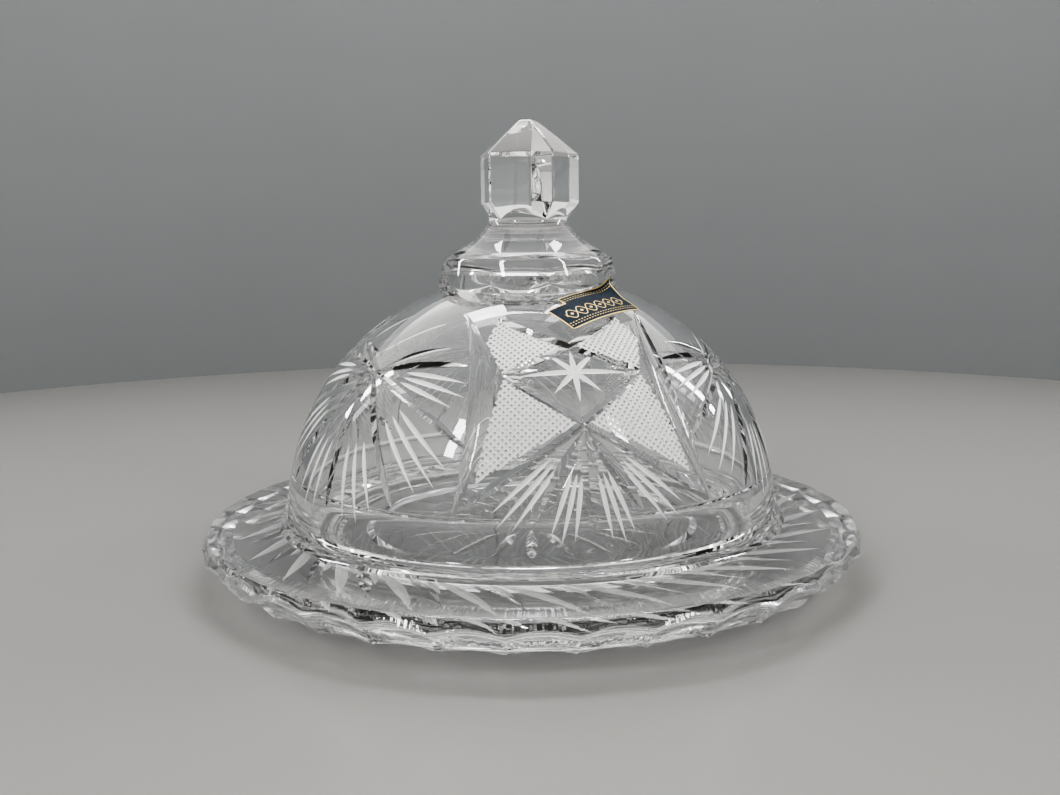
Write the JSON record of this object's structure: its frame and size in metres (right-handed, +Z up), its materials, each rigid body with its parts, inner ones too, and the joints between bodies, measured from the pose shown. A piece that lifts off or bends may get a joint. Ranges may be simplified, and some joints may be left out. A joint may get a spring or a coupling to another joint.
{
  "type": "butter dish",
  "caption": "Domed butter dish in cut crystal: a flat underplate with a scalloped rim and a domed cover with a faceted knob that lifts off.",
  "frame": {"origin": "middle of the flat ring that the underplate stands on", "axes": "+Z up along the axis of the dish, -Y towards the front, where the label is just right of the middle, +X to the right"},
  "size_m": [0.1996, 0.1996, 0.1334],
  "materials": {
    "plate_crystal": "polished clear lead crystal with cut and frosted decoration",
    "cover_crystal": "polished clear lead crystal with cut and frosted decoration",
    "foil_label": "printed foil, dark navy with a gold border"
  },
  "bodies": {
    "plate": {"plate": "plate_crystal"},
    "cover": {"cover": "cover_crystal", "label": "foil_label"}
  },
  "joints": [
    {"name": "cover_lift", "type": "slide", "parent": "plate", "child": "cover", "axis": [0, 0, 1], "range_m": [0, 0.15]}
  ]
}
